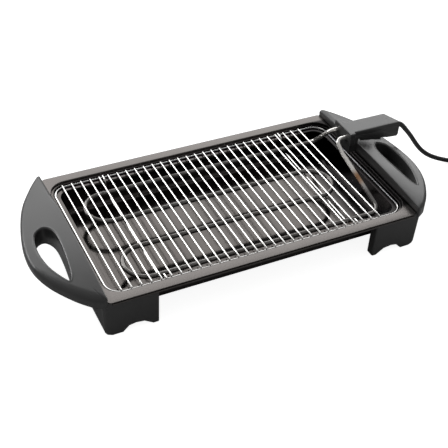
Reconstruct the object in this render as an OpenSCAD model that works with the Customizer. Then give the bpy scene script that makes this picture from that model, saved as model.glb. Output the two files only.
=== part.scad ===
// Open electric table grill: a drip pan in a sheet rim on four feet, end handles,
// a lift-off wire rack with its heating element, and a control box with a mains cord.
// X runs along the grill with the control box at the +X end, and the front is at -Y.

/* [Cooking rack] */
// Distance between neighbouring cross wires
wire_pitch = 13; // [12:0.5:13]
// Number of cross wires
wire_count = 29; // [25:2:29]
// Diameter of a cross wire
wire_d = 2.5; // [2:0.1:2.8]
// Diameter of the wire round the edge of the rack
edge_wire_d = 3; // [2.6:0.1:3.2]
// Length of the rack between the centres of its end wires
rack_l = 417; // [416:0.5:418]
// Width of the rack between the centres of its long wires
rack_w = 222; // [221:0.5:223]

/* [Heating element] */
// Diameter of the heating tube
tube_d = 6.5; // [6:0.1:6.5]
// Height of the heating tube's centre above the table
tube_z = 37.3; // [36.5:0.1:37.5]
// Distance between neighbouring runs of the heating tube
run_pitch = 59.7; // [58:0.1:60]

/* [Body] */
// Height of the rim's flat top above the table
rim_z = 53; // [53:1:56]
// Thickness of the rim's sheet
sheet = 1; // [0.8:0.1:1.2]
// Depth of the rim from front to back
rim_w = 261; // [260:1:263]
// Wall of the moulded handles and feet
wall = 3; // [2.5:0.5:3]

/* [Handles] */
// Height of a handle's top at its inner wall
handle_z = 68.5; // [67:0.5:69]
// Drop of a handle's top from its inner wall to its outer edge
handle_drop = 13.5; // [10:0.5:14]
// Drop of a handle's top from its middle to its ends
handle_sag = 6; // [4:0.5:7]

/* [Cord] */
// Diameter of the mains cord
cord_d = 6.8; // [6.5:0.1:7]

/* [Hidden] */
round_fn = 64;
gap = 0.05;
// The control box overhangs the right handle, so the grill's middle is off the part's origin
middle_x = -3.5;

// Rack
rack_corner_r = 20;
cross_z = 49.8;
edge_wire_z = cross_z - wire_d / 2 - edge_wire_d / 2 + 0.1;
rack_shift = -11.5;
cradle_x = [-136, 136.5];
cradle_z = tube_z - tube_d / 2 - wire_d / 2 - gap;
cradle_reach = 101;
cradle_r = 5;

// Heating element: the ends of its turns, and the leads up to the control box
run_y = [89.5, 89.5 - run_pitch, run_pitch - 89.5, -89.5];
left_turn_x = [-178, -171];
right_turn_x = 160;
lead_x = 187;
lead_y = [56, 33];
lead_z = 76.3;
lead_end_x = 206.2;

// Rim and pan
end_x = 217.5;
rim_corner_r = 6;
tab_x = 232;
tab_y = 108;
opening = [429, 233];
opening_r = 26;
rim_ledge = 2.5;
rim_ledge_z = rim_z - 3.5 - sheet;
hem_d = 3.2;
hem_l = 424;
pan_t = 0.8;
pan_lip_z = rim_ledge_z + sheet;
pan_ledge_z = edge_wire_z - edge_wire_d / 2 - gap;
pan_floor_z = 11.5;
pan_wall = opening - [2, 2] * (rim_ledge + 0.2);
pan_throat = pan_wall - [18, 18];
pan_floor = pan_wall - [26, 26];
pan_floor_r = 12;

// Handles
handle_bottom_z = 46.5;
handle_reach = 63.5;
handle_edge_r = 3;
sag_r = (rim_w / 2) * (rim_w / 2) / (2 * handle_sag);
// Control points of the right handle's outline and of its hand hole, joined by smooth curves
handle_rim = [[226, 125.5], [240, 107], [258, 78], [271, 42], [279.5, 2],
    [280, -36], [270, -70], [250, -103], [232, -123.5]];
hand_hole = [[236.5, 6], [247, 21.5], [262, 15], [267.5, -12], [264, -46],
    [253, -76], [246, -84.5], [240, -70], [235.5, -25]];
// The wall of the hand hole stands this far inside its lip and reaches down to collar_z
hole_lip = 2.5;
collar_z = 38;
rib_y = [-66, -12, 62];
rib_t = 2;
boss = [228, 98];
boss_d = 9;
screw_d = 3;

// Feet
foot_in = 154.5;
foot_out = [221.5, 223.5];
foot_top_z = 46.5;
foot_arch = [[160.5, 0], [172, 8], [183, 9.5], [191.6, 8], [199.5, 0]];
foot_corner_r = 6;
foot_y = 129.5;
foot_rib = 11.8;

// Control box
box_x = [201, 287];
box_y = [25, 51.5];
nose_x = 209;
nose_y = [19, 63];
box_slant = 14;
box_split_z = 81;
box_t = 2;
post = [203.5, 23, 55.5];
post_size = [13.3, 37, 16];
tongue = [226, 30, 53.5];
tongue_size = [36, 16, 24];
tongue_gap = 0.6;

// Cord: it leaves the box down and outwards, lands on the table and runs into a coil
sleeve_start = [280.1, 38, 80];
sleeve_dir = [0.723, 0, -0.69];
sleeve_l = 30;
sleeve_d = [9.4, 7.6];
cord_route = [[301.8, 38, 59.3], [309, 38, 52.4], [315.8, 37.4, 45.4], [322.4, 36.2, 38.2],
    [328.8, 34.3, 31], [335.4, 31.8, 24.1], [342.6, 28.6, 17.9], [350.6, 24.7, 12.6],
    [359.4, 20.1, 8.6], [368.8, 15, 5.8], [378.6, 9.5, 4.2], [388.6, 3.6, 3.6],
    [398.6, -2.4, 3.5], [409, -8.4, 3.5], [420.5, -7.8, 3.5]];
coil_at = [398, -42];
coil_r = 37.5;
coil_layers = 3;
tail_start = [coil_at.x + coil_r + cord_d / 2, coil_at.y, cord_d * (coil_layers - 0.5)];
tail_l = 27.5;
plug_r = 18.4;
plug_l = 56;
plug_start = [tail_start.x, tail_start.y - tail_l, plug_r + 0.1];
pin_d = 4.8;
pin_l = 19;
pin_spacing = 19;

function unit(v) = v / norm(v);
// Point of a smooth curve between b and c, where t runs from 0 to 1
function curve_point(a, b, c, d, t) =
    ((2 * b) + (c - a) * t + (2 * a - 5 * b + 4 * c - d) * t * t + (3 * b - a - 3 * c + d) * t * t * t) / 2;
function smooth_open(p, steps = 4) = [
    for (i = [0 : len(p) - 2], k = [0 : steps - 1])
        curve_point(p[max(i - 1, 0)], p[i], p[i + 1], p[min(i + 2, len(p) - 1)], k / steps),
    p[len(p) - 1]];
function smooth_closed(p, steps = 4) = [
    for (i = [0 : len(p) - 1], k = [0 : steps - 1])
        curve_point(p[(i + len(p) - 1) % len(p)], p[i], p[(i + 1) % len(p)], p[(i + 2) % len(p)], k / steps)];
function arc(centre, r, from, to, steps) = [
    for (k = [0 : steps]) centre + r * [cos(from + (to - from) * k / steps), sin(from + (to - from) * k / steps)]];

// Straight round bar between two points
module bar(a, b, d) {
    v = b - a;
    translate(a)
        rotate([0, acos(v.z / norm(v)), atan2(v.y, v.x)])
            cylinder(h = norm(v), d = d, $fn = round_fn);
}

// Bend of a round bar at a corner, with its centreline at radius r
module bend(before, corner, after, r, d) {
    u = unit(corner - before);
    w = unit(after - corner);
    angle = acos(u * w);
    centre = corner + unit(w - u) * r / cos(angle / 2);
    x = unit(corner - u * r * tan(angle / 2) - centre);
    z = cross(x, u);
    multmatrix([[x.x, u.x, z.x, centre.x], [x.y, u.y, z.y, centre.y], [x.z, u.z, z.z, centre.z], [0, 0, 0, 1]])
        rotate_extrude(angle = angle, $fn = round_fn)
            translate([r, 0])
                circle(d = d, $fn = round_fn);
}

// Points along a bent bar: each inner corner becomes an arc of its own radius
function bent_path(p, r, steps = 6) = [
    p[0],
    for (i = [1 : len(p) - 2])
        let (u = unit(p[i] - p[i - 1]),
            w = unit(p[i + 1] - p[i]),
            angle = acos(u * w),
            centre = p[i] + unit(w - u) * r[i] / cos(angle / 2),
            x = unit(p[i] - u * r[i] * tan(angle / 2) - centre))
        for (k = [0 : steps])
            centre + r[i] * (cos(angle * k / steps) * x + sin(angle * k / steps) * u),
    p[len(p) - 1]];

module rounded_rect(size, r) {
    square([size.x - 2 * r, size.y], center = true);
    square([size.x, size.y - 2 * r], center = true);
    for (x = [-1, 1], y = [-1, 1])
        translate([x * (size.x / 2 - r), y * (size.y / 2 - r)])
            circle(r, $fn = round_fn);
}

// Flat or upright ring inside a rounded rectangle, w wide and h high
module rounded_ring(size, r, w, z, h) {
    translate([0, 0, z])
        linear_extrude(h)
            difference() {
                rounded_rect(size, r);
                rounded_rect(size - [2 * w, 2 * w], r - w);
            }
}

// Tube swept along a list of points, with flat ends
module swept_tube(points, d, sides) {
    last = len(points) - 1;
    rings = [for (i = [0 : last])
        let (t = unit(points[min(i + 1, last)] - points[max(i - 1, 0)]),
            u = unit(cross([0, 0, 1], t)),
            v = cross(t, u))
        for (k = [0 : sides - 1]) points[i] + d / 2 * (cos(360 * k / sides) * u + sin(360 * k / sides) * v)];
    skin = [for (i = [0 : last - 1], k = [0 : sides - 1])
        let (a = i * sides + k, b = i * sides + (k + 1) % sides)
        [a, a + sides, b + sides, b]];
    ends = [[for (k = [0 : sides - 1]) k], [for (k = [sides - 1 : -1 : 0]) last * sides + k]];
    polyhedron(rings, concat(skin, ends), convexity = 4);
}

// Rim, pan and feet
module rim_frame() {
    color([0.45, 0.43, 0.42]) {
        translate([0, 0, rim_z - sheet])
            linear_extrude(sheet)
                difference() {
                    union() {
                        rounded_rect([2 * end_x, rim_w], rim_corner_r);
                        square([2 * tab_x, 2 * tab_y], center = true);
                    }
                    rounded_rect(opening, opening_r);
                    for (x = [-boss.x, boss.x], y = [-boss.y, boss.y])
                        translate([x, y])
                            circle(d = screw_d + 0.4, $fn = round_fn);
                }
        rounded_ring(opening + [2, 2] * sheet, opening_r + sheet, sheet, rim_ledge_z, rim_z - rim_ledge_z);
        rounded_ring(opening + [2, 2] * sheet, opening_r + sheet, rim_ledge + sheet, rim_ledge_z, sheet);
        for (y = [-1, 1])
            translate([-hem_l / 2, y * (rim_w / 2 - hem_d / 2 + 1), rim_z - hem_d / 2 + 0.1])
                rotate([0, 90, 0])
                    cylinder(h = hem_l, d = hem_d, $fn = round_fn);
    }
}

module drip_pan() {
    wall_r = opening_r - rim_ledge;
    color([0.3, 0.3, 0.3]) {
        rounded_ring(opening - [0.6, 0.6], opening_r - 0.3, 3.2, pan_lip_z, sheet);
        rounded_ring(pan_wall, wall_r, pan_t, pan_ledge_z - pan_t, pan_lip_z + sheet - pan_ledge_z + pan_t);
        rounded_ring(pan_wall, wall_r, 9.8, pan_ledge_z - pan_t, pan_t);
        difference() {
            drafted_block(pan_throat, pan_floor, pan_floor_z, pan_ledge_z, 0);
            drafted_block(pan_throat, pan_floor, pan_floor_z - 1, pan_ledge_z + 1, pan_t);
        }
    }
}

// The pan is one pressing: its floor is a node of its own, so that its collision stays flat
module drip_pan_floor() {
    color([0.3, 0.3, 0.3])
        translate([0, 0, pan_floor_z - pan_t])
            linear_extrude(pan_t)
                rounded_rect_32(pan_floor, pan_floor_r);
}

// Block with rounded corners whose sides lean in towards its bottom
module drafted_block(top, bottom, z0, z1, inset) {
    hull() {
        translate([0, 0, z1 - 0.1])
            linear_extrude(0.1)
                offset(delta = -inset) rounded_rect_32(top, 16);
        translate([0, 0, z0])
            linear_extrude(0.1)
                offset(delta = -inset) rounded_rect_32(bottom, pan_floor_r);
    }
}

module rounded_rect_32(size, r) {
    for (x = [-1, 1], y = [-1, 1])
        translate([x * (size.x / 2 - r), y * (size.y / 2 - r)])
            circle(r, $fn = 32);
    square(size - [2 * r, 0], center = true);
    square(size - [0, 2 * r], center = true);
}

// Outline of a foot seen from the front, at the right end
module foot_outline() {
    polygon(concat([[foot_in, 0]],
        arc([foot_out[0] - foot_corner_r, foot_corner_r], foot_corner_r, -90, 0, 6),
        [[foot_out[1], foot_top_z], [end_x - 0.5, foot_top_z], [end_x - 0.5, rim_z - sheet],
        [foot_in, rim_z - sheet]]));
}

// Part of the foot's shell from its front face back to the depth given, between two heights of X
module foot_side(depth, x0, x1) {
    intersection() {
        translate([0, -foot_y + depth, 0])
            rotate([90, 0, 0])
                linear_extrude(depth)
                    difference() {
                        foot_outline();
                        offset(delta = -wall) foot_outline();
                    }
        translate([x0, -foot_y, -1])
            cube([x1 - x0, depth, rim_z + 1]);
    }
}

module foot(x_side, y_side) {
    color([0.17, 0.17, 0.165])
        mirror([x_side < 0 ? 1 : 0, 0, 0])
            mirror([0, y_side > 0 ? 1 : 0, 0])
                difference() {
                    union() {
                        translate([0, -foot_y + wall, 0])
                            rotate([90, 0, 0])
                                linear_extrude(wall)
                                    difference() {
                                        foot_outline();
                                        polygon(concat(foot_arch, [[199.5, -1], [160.5, -1]]));
                                    }
                        foot_side(60, end_x - 0.5, foot_out[1] + 1);
                        foot_side(foot_rib, foot_in - 1, foot_in + wall);
                        translate([foot_in, -foot_y, rim_z - sheet - wall])
                            cube([end_x - 0.5 - foot_in, foot_rib, wall]);
                    }
                    // Groove for the rim's hem
                    translate([foot_in - 1, -foot_y - 1, rim_z - hem_d])
                        cube([hem_l / 2 + 1.3 - foot_in, 2.3, hem_d]);
                }
}

module end_beam(side) {
    color([0.17, 0.17, 0.165])
        mirror([side < 0 ? 1 : 0, 0, 0])
            difference() {
                translate([end_x + 1.5, -tab_y, foot_top_z])
                    cube([tab_x - end_x - 1.5, 2 * tab_y, rim_z - sheet - foot_top_z]);
                for (y = [-boss.y, boss.y])
                    translate([boss.x, y, foot_top_z - 1])
                        cylinder(h = 10, d = screw_d + 0.4, $fn = round_fn);
            }
}

module base_screw(x_side, y_side) {
    color([0.6, 0.6, 0.62])
        translate([x_side * boss.x, y_side * boss.y, foot_top_z - 2.5]) {
            difference() {
                cylinder(h = 2.5, d = 6.5, $fn = round_fn);
                for (a = [0, 90])
                    rotate([0, 0, a])
                        translate([-2, -0.5, -1])
                            cube([4, 1, 2.2]);
            }
            translate([0, 0, 2.4])
                cylinder(h = 15, d = screw_d, $fn = round_fn);
        }
}

// Handles
module handle_outline() {
    polygon(concat([[end_x, rim_w / 2], [end_x + 5, 129.5]], smooth_open(handle_rim),
        [[end_x + 4, -129.8], [end_x, -rim_w / 2]]));
}

function handle_top(s) = handle_z - handle_drop * pow(s, 1.4);

// Solid under the handle's curved top, which falls outwards and towards both ends
module under_handle_top(drop) {
    span = 5.6;
    profile = concat([[sag_r + 30, end_x - 1]],
        [for (a = [0 : 22.5 : 90])
            [sag_r + handle_z - handle_edge_r * (1 - sin(a)) - drop, end_x + handle_edge_r * (1 - cos(a))]],
        [for (s = [0.2 : 0.16 : 1.16])
            [sag_r + handle_top(s) - drop, end_x + s * handle_reach]],
        [[sag_r + 30, end_x + 1.16 * handle_reach]]);
    translate([0, 0, -sag_r])
        rotate([0, 90, 0])
            rotate([0, 0, 180 - span])
                rotate_extrude(angle = 2 * span, $fn = 1800)
                    polygon(profile);
}

// Slab of the handle's height over a flat outline
module handle_slab(z) {
    translate([0, 0, z])
        linear_extrude(handle_z + 5 - z)
            children();
}

// Outline of the hand hole's wall, grown by the amount given
module hole_outline(grow) {
    offset(delta = grow - hole_lip)
        polygon(smooth_closed(hand_hole));
}

module handle_shell() {
    difference() {
        union() {
            difference() {
                intersection() {
                    handle_slab(handle_bottom_z) handle_outline();
                    under_handle_top(0);
                }
                intersection() {
                    handle_slab(handle_bottom_z - 1) offset(delta = -wall) handle_outline();
                    under_handle_top(wall);
                }
            }
            intersection() {
                handle_slab(collar_z) hole_outline(wall);
                under_handle_top(wall / 2);
            }
            intersection() {
                for (y = rib_y)
                    translate([end_x + 1, y - rib_t / 2, rim_z])
                        cube([handle_reach, rib_t, 20]);
                handle_slab(handle_bottom_z) offset(delta = -wall / 2) handle_outline();
                under_handle_top(wall / 2);
            }
            intersection() {
                for (y = [-boss.y, boss.y])
                    translate([boss.x, y, rim_z])
                        cylinder(h = 20, d = boss_d, $fn = round_fn);
                under_handle_top(wall / 2);
            }
        }
        handle_slab(collar_z - 1) hole_outline(0);
        translate([end_x - 5, -tab_y - 0.2, handle_bottom_z - 1])
            cube([tab_x - end_x + 5.2, 2 * tab_y + 0.4, rim_z - handle_bottom_z + 1]);
        for (y = [-boss.y, boss.y])
            translate([boss.x, y, rim_z - 1])
                cylinder(h = 10, d = screw_d + 0.05, $fn = round_fn);
    }
}

module left_handle() {
    color([0.2, 0.2, 0.2])
        mirror([1, 0, 0])
            handle_shell();
}

module right_handle() {
    color([0.2, 0.2, 0.2])
        difference() {
            union() {
                handle_shell();
                // Floor of the grip recess
                translate([0, 0, collar_z])
                    linear_extrude(wall)
                        hole_outline(1);
            }
            translate(tongue - [tongue_gap, tongue_gap, 0])
                cube(tongue_size + [2 * tongue_gap, 2 * tongue_gap, 0]);
        }
}

// Lift-off cooking unit
module cooking_rack() {
    half = [rack_l, rack_w] / 2;
    color([0.75, 0.75, 0.76]) {
        for (i = [0 : wire_count - 1])
            translate([(i - (wire_count - 1) / 2) * wire_pitch + rack_shift, -half.y - 0.5, cross_z])
                rotate([-90, 0, 0])
                    cylinder(h = rack_w + 1, d = wire_d, $fn = 32);
        for (s = [-1, 1]) {
            bar([-half.x + rack_corner_r, s * half.y, edge_wire_z],
                [half.x - rack_corner_r, s * half.y, edge_wire_z], edge_wire_d);
            bar([s * half.x, -half.y + rack_corner_r, edge_wire_z],
                [s * half.x, half.y - rack_corner_r, edge_wire_z], edge_wire_d);
            for (t = [-1, 1])
                bend([s * half.x, 0, edge_wire_z], [s * half.x, t * half.y, edge_wire_z],
                    [0, t * half.y, edge_wire_z], rack_corner_r, edge_wire_d);
        }
    }
}

// Wire under the heating tube, hung from the rack's long wires
module element_cradle(x) {
    end = rack_w / 2 + 2;
    color([0.7, 0.7, 0.71])
        swept_tube(bent_path([[x, end, cross_z], [x, cradle_reach, cross_z], [x, cradle_reach - 3, cradle_z],
            [x, 3 - cradle_reach, cradle_z], [x, -cradle_reach, cross_z], [x, -end, cross_z]],
            [0, cradle_r, cradle_r, cradle_r, cradle_r, 0]), wire_d, 12);
}

module heating_element() {
    turn_r = run_pitch / 2 - 0.2;
    path = [[lead_end_x, lead_y[0], lead_z], [190, lead_y[0], lead_z], [186, run_y[0], tube_z],
        [left_turn_x[0], run_y[0], tube_z], [left_turn_x[0], run_y[1], tube_z],
        [right_turn_x, run_y[1], tube_z], [right_turn_x, run_y[2], tube_z],
        [left_turn_x[1], run_y[2], tube_z], [left_turn_x[1], run_y[3], tube_z],
        [lead_x, run_y[3], tube_z], [lead_x, 16, 65], [lead_x, lead_y[1], lead_z],
        [lead_end_x, lead_y[1], lead_z]];
    radii = [0, 10, 12, turn_r, turn_r, turn_r, turn_r, turn_r, turn_r, 15, 30, 8, 0];
    color([0.45, 0.45, 0.46])
        swept_tube(bent_path(path, radii), tube_d, 16);
}

module element_flange() {
    color([0.6, 0.6, 0.6])
        translate([box_x[0] + box_t, lead_y[1] - 7, lead_z - 4.2])
            difference() {
                cube([1.5, lead_y[0] - lead_y[1] + 11.8, 8.6]);
                for (y = lead_y)
                    translate([-1, y - lead_y[1] + 7, 4.2])
                        rotate([0, 90, 0])
                            cylinder(h = 4, d = tube_d + 0.1, $fn = round_fn);
            }
}

// Control box: outlines from above and from the front
module box_plan() {
    polygon([[box_x[0], nose_y[0]], [nose_x, nose_y[0]], [nose_x, box_y[0]], [box_x[1], box_y[0]],
        [box_x[1] - box_slant, box_y[1]], [nose_x, box_y[1]], [nose_x, nose_y[1]], [box_x[0], nose_y[1]]]);
}

module box_side() {
    polygon([[box_x[0], 89], [288, 88], [288, 71], [284, 66.5], [268, 67.5], [238, 74.5],
        [216.8, 76], [216.8, 70], [box_x[0], 70]]);
}

module box_solid(inset) {
    intersection() {
        translate([0, 0, 60])
            linear_extrude(40)
                offset(delta = -inset) box_plan();
        translate([0, 100, 0])
            rotate([90, 0, 0])
                linear_extrude(100)
                    offset(delta = -inset) box_side();
    }
}

module box_shell() {
    difference() {
        box_solid(0);
        box_solid(box_t);
    }
}

module control_box_cover() {
    color([0.32, 0.32, 0.32])
        intersection() {
            box_shell();
            translate([190, 0, box_split_z])
                cube([110, 80, 20]);
        }
}

module control_box_base() {
    color([0.16, 0.16, 0.16])
        difference() {
            union() {
                intersection() {
                    box_shell();
                    translate([190, 0, 50])
                        cube([110, 80, box_split_z - 50]);
                }
                translate(post)
                    cube(post_size);
                translate(tongue)
                    cube(tongue_size);
            }
            for (y = lead_y)
                translate([box_x[0] - 1, y, lead_z])
                    rotate([0, 90, 0])
                        cylinder(h = 4, d = tube_d + 0.1, $fn = round_fn);
            sleeve_cone(0.1);
        }
}

module terminal_block() {
    color([0.85, 0.83, 0.75])
        difference() {
            translate([228, 31, tongue.z + tongue_size.z])
                cube([24, 14, 8]);
            for (x = [234, 246])
                translate([x, 30, tongue.z + tongue_size.z + 4])
                    rotate([-90, 0, 0])
                        cylinder(h = 20, d = 3, $fn = round_fn);
        }
}

module thermal_cutout() {
    color([0.7, 0.7, 0.72])
        translate([256, 38, tongue.z + tongue_size.z]) {
            cylinder(h = 3, d = 7, $fn = round_fn);
            translate([0, 0, 3])
                cylinder(h = 5, d = 7.6, $fn = round_fn);
        }
}

// Cord and plug
module sleeve_cone(play) {
    translate(sleeve_start)
        rotate([0, 90 + asin(-sleeve_dir.z), 0])
            cylinder(h = sleeve_l, d1 = sleeve_d[0] + play, d2 = sleeve_d[1] + play, $fn = round_fn);
}

module bend_sleeve() {
    color([0.1, 0.1, 0.1])
        sleeve_cone(0);
}

module mains_cord() {
    color([0.1, 0.1, 0.1])
        swept_tube(cord_route, cord_d, 12);
}

module cord_coil() {
    color([0.1, 0.1, 0.1])
        translate([coil_at.x, coil_at.y, 0])
            rotate_extrude($fn = round_fn)
                translate([coil_r, coil_layers * cord_d / 2])
                    rounded_rect([2 * cord_d, coil_layers * cord_d], cord_d / 2);
}

module cord_tail() {
    color([0.1, 0.1, 0.1])
        swept_tube([tail_start, tail_start + [0, -tail_l / 3, 0.9], plug_start + [0, tail_l / 3, 0], plug_start],
            cord_d, 12);
}

module plug_body() {
    color([0.1, 0.1, 0.1])
        translate(plug_start)
            rotate([90, 0, 0])
                difference() {
                    rotate_extrude($fn = round_fn)
                        polygon([[0, 0], [4.2, 0], [5.5, 20], [12, 23], [16.5, 29], [plug_r, 34], [plug_r, plug_l],
                            [0, plug_l]]);
                    for (s = [-1, 1])
                        translate([s * (plug_r - 1.5) - 2, -3, plug_l - 18])
                            cube([4, 6, 20]);
                }
}

module plug_pins() {
    color([0.75, 0.72, 0.65])
        for (x = [-pin_spacing / 2, pin_spacing / 2])
            translate(plug_start + [x, -plug_l, 0])
                rotate([90, 0, 0]) {
                    cylinder(h = pin_l - pin_d / 2, d = pin_d, $fn = round_fn);
                    translate([0, 0, pin_l - pin_d / 2])
                        sphere(d = pin_d, $fn = round_fn);
                }
}

module placed() {
    translate([middle_x, 0, 0])
        children();
}

placed() left_handle();
placed() right_handle();
placed() rim_frame();
placed() drip_pan();
placed() drip_pan_floor();
placed() foot(-1, -1);  // front_left_foot
placed() foot(1, -1);  // front_right_foot
placed() foot(-1, 1);  // back_left_foot
placed() foot(1, 1);  // back_right_foot
placed() end_beam(-1);  // left_end_beam
placed() end_beam(1);  // right_end_beam
placed() base_screw(-1, -1);  // front_left_screw
placed() base_screw(1, -1);  // front_right_screw
placed() base_screw(-1, 1);  // back_left_screw
placed() base_screw(1, 1);  // back_right_screw
placed() cooking_rack();
placed() element_cradle(cradle_x[0]);  // left_element_cradle
placed() element_cradle(cradle_x[1]);  // right_element_cradle
placed() heating_element();
placed() element_flange();
placed() control_box_cover();
placed() control_box_base();
placed() terminal_block();
placed() thermal_cutout();
placed() bend_sleeve();
placed() mains_cord();
placed() cord_coil();
placed() cord_tail();
placed() plug_body();
placed() plug_pins();
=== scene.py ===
# Open electric table grill: drip pan in a sheet rim, end handles, wire rack over a heating tube, control box
import math
import bmesh
import bpy
import numpy as np
from mathutils import Matrix, Vector


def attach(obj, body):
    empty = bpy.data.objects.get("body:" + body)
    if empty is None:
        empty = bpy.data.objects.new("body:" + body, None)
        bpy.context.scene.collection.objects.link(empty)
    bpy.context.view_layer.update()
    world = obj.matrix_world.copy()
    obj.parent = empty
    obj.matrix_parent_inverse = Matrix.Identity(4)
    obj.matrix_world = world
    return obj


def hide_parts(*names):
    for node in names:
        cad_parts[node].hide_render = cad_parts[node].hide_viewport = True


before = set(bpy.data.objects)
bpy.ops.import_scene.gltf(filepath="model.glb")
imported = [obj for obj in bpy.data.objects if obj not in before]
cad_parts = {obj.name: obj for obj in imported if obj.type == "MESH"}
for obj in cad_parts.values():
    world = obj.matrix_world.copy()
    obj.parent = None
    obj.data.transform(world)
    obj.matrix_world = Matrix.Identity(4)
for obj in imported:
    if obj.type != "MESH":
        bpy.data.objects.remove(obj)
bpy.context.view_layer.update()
middleX = -3.5    # the grill's own middle in the frame, mm: the control box overhangs one end
print("frame loaded:", len(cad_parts), "nodes")


# Shared mesh helpers, all in millimetres about the grill's middle

def toFrame(points):
    # millimetres about the grill's middle become metres in the frame
    return (np.asarray(points, float) + [middleX, 0, 0]) * 0.001


def gridFaces(rows, cols, closeRows=False, closeCols=False):
    # quads over a rows x cols grid of points, wrapped round where a direction is closed
    i = np.arange(rows if closeRows else rows - 1)
    j = np.arange(cols if closeCols else cols - 1)
    a, b = np.meshgrid(i, j, indexing="ij")
    c, d = (a + 1) % rows, (b + 1) % cols
    return np.stack([a * cols + b, c * cols + b, c * cols + d, a * cols + d], -1).reshape(-1, 4)


# faces of a block whose corners are listed with X slowest and Z fastest
boxFaces = [(0, 1, 3, 2), (4, 6, 7, 5), (0, 4, 5, 1), (2, 3, 7, 6), (0, 2, 6, 4), (1, 5, 7, 3)]


def makePiece(name, points, faces, material, outward=True, smoothAngle=40):
    # one mesh object at the origin, with its place in its points
    mesh = bpy.data.meshes.new(name)
    mesh.from_pydata(toFrame(points).reshape(-1, 3).tolist(), [], [list(f) for f in faces])
    if outward:
        shell = bmesh.new()
        shell.from_mesh(mesh)
        bmesh.ops.remove_doubles(shell, verts=shell.verts, dist=1e-6)
        bmesh.ops.recalc_face_normals(shell, faces=shell.faces)
        shell.to_mesh(mesh)
        shell.free()
    piece = bpy.data.objects.new(name, mesh)
    bpy.context.collection.objects.link(piece)
    mesh.materials.append(material)
    mesh.shade_smooth()
    if smoothAngle:
        mesh.set_sharp_from_angle(angle=math.radians(smoothAngle))
    return piece


def blockPiece(name, xs, ys, zs, material):
    # a plain block between two places along each axis
    corners = [(x, y, z) for x in xs for y in ys for z in zs]
    return makePiece(name, corners, boxFaces, material)


def joinPieces(name, pieces):
    # several meshes into one object, with the first one's material
    shell = bmesh.new()
    material = pieces[0].data.materials[0]
    for piece in pieces:
        shell.from_mesh(piece.data)
    mesh = bpy.data.meshes.new(name)
    shell.to_mesh(mesh)
    shell.free()
    mesh.materials.append(material)
    for piece in pieces:
        bpy.data.objects.remove(piece)
    joined = bpy.data.objects.new(name, mesh)
    bpy.context.collection.objects.link(joined)
    return joined


def thickenPiece(piece, thickness, even=False):
    # a sheet gets a wall behind it
    wall = piece.modifiers.new("wall", "SOLIDIFY")
    wall.thickness = thickness * 0.001
    wall.offset = -1
    wall.use_even_offset = even
    bakeModifiers(piece)


def bakeModifiers(piece):
    # the modifiers' result becomes the piece's own mesh
    graph = bpy.context.evaluated_depsgraph_get()
    mesh = bpy.data.meshes.new_from_object(piece.evaluated_get(graph))
    piece.modifiers.clear()
    piece.data = mesh


def bevelPiece(piece, width, segments):
    # round edges, made part of the mesh
    bevel = piece.modifiers.new("edgeRounding", "BEVEL")
    bevel.width = width * 0.001
    bevel.segments = segments
    bevel.limit_method = "ANGLE"
    bevel.angle_limit = math.radians(35)
    bevel.harden_normals = True
    bakeModifiers(piece)


def quarterTurn(count):
    # angles from 0 to a right angle
    return np.linspace(0, math.pi / 2, count)


def unit(v):
    return v / np.linalg.norm(v, axis=-1, keepdims=True)


def bentPath(corners, radii, steps=10):
    # straight stretches with each inner corner turned into an arc of its own radius
    p = np.asarray(corners, float)
    out = [p[:1]]
    for before, corner, after, r in zip(p[:-2], p[1:-1], p[2:], radii):
        u, w = unit(corner - before), unit(after - corner)
        turn = math.acos(float(np.clip(u @ w, -1, 1)))
        centre = corner + unit(w - u) * r / math.cos(turn / 2)
        x = unit(corner - u * r * math.tan(turn / 2) - centre)
        a = np.linspace(0, turn, steps + 1)[:, None]
        out.append(centre + r * (np.cos(a) * x + np.sin(a) * u))
    out.append(p[-1:])
    return np.concatenate(out)


def tubePoints(path, radius, sides, up=(0, 0, 1), closed=False):
    # a circle square to the path at each of its points; radius may be one value or one a point
    path = np.asarray(path, float)
    if closed:
        along = unit(np.roll(path, -1, 0) - np.roll(path, 1, 0))
    else:
        along = unit(np.gradient(path, axis=0))
    across = unit(np.cross(np.broadcast_to(np.asarray(up, float), along.shape), along))
    over = np.cross(along, across)
    a = np.linspace(0, 2 * math.pi, sides, endpoint=False)
    r = np.broadcast_to(radius, len(path))[:, None, None]
    ring = np.cos(a)[None, :, None] * across[:, None] + np.sin(a)[None, :, None] * over[:, None]
    return path[:, None] + r * ring


def roundEnds(path, radius, steps=5):
    # extra points and radii that close both ends of a tube with a dome
    a = quarterTurn(steps + 1)[:-1]
    first, last = unit(path[1] - path[0]), unit(path[-1] - path[-2])
    back = radius * np.sin(a[::-1])[:, None]
    start = path[0] + first * (radius - back)
    end = path[-1] - last * (radius - back[::-1])
    fall = radius * np.cos(a[::-1])
    whole = np.concatenate([start, path[1:-1], end])
    fall = np.maximum(fall, 0.02)
    return whole, np.concatenate([fall, np.full(len(path) - 2, radius), fall[::-1]])


def cappedFaces(rows, cols):
    # the faces of a tube of rings, with one face over each end
    last = (rows - 1) * cols
    return gridFaces(rows, cols, False, True).tolist() + [list(range(cols)), list(range(last, rows * cols))]


def tubePiece(name, path, radius, material, sides=20, up=(0, 0, 1), closed=False):
    # a tube along a path, with domed ends unless it is a closed loop
    path = np.asarray(path, float)
    if closed:
        points = tubePoints(path, radius, sides, up, True)
        return makePiece(name, points, gridFaces(len(path), sides, True, True), material, True, 0)
    whole, sizes = roundEnds(path, radius)
    points = tubePoints(whole, sizes, sides, up)
    return makePiece(name, points, cappedFaces(len(whole), sides), material, True, 0)


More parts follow.
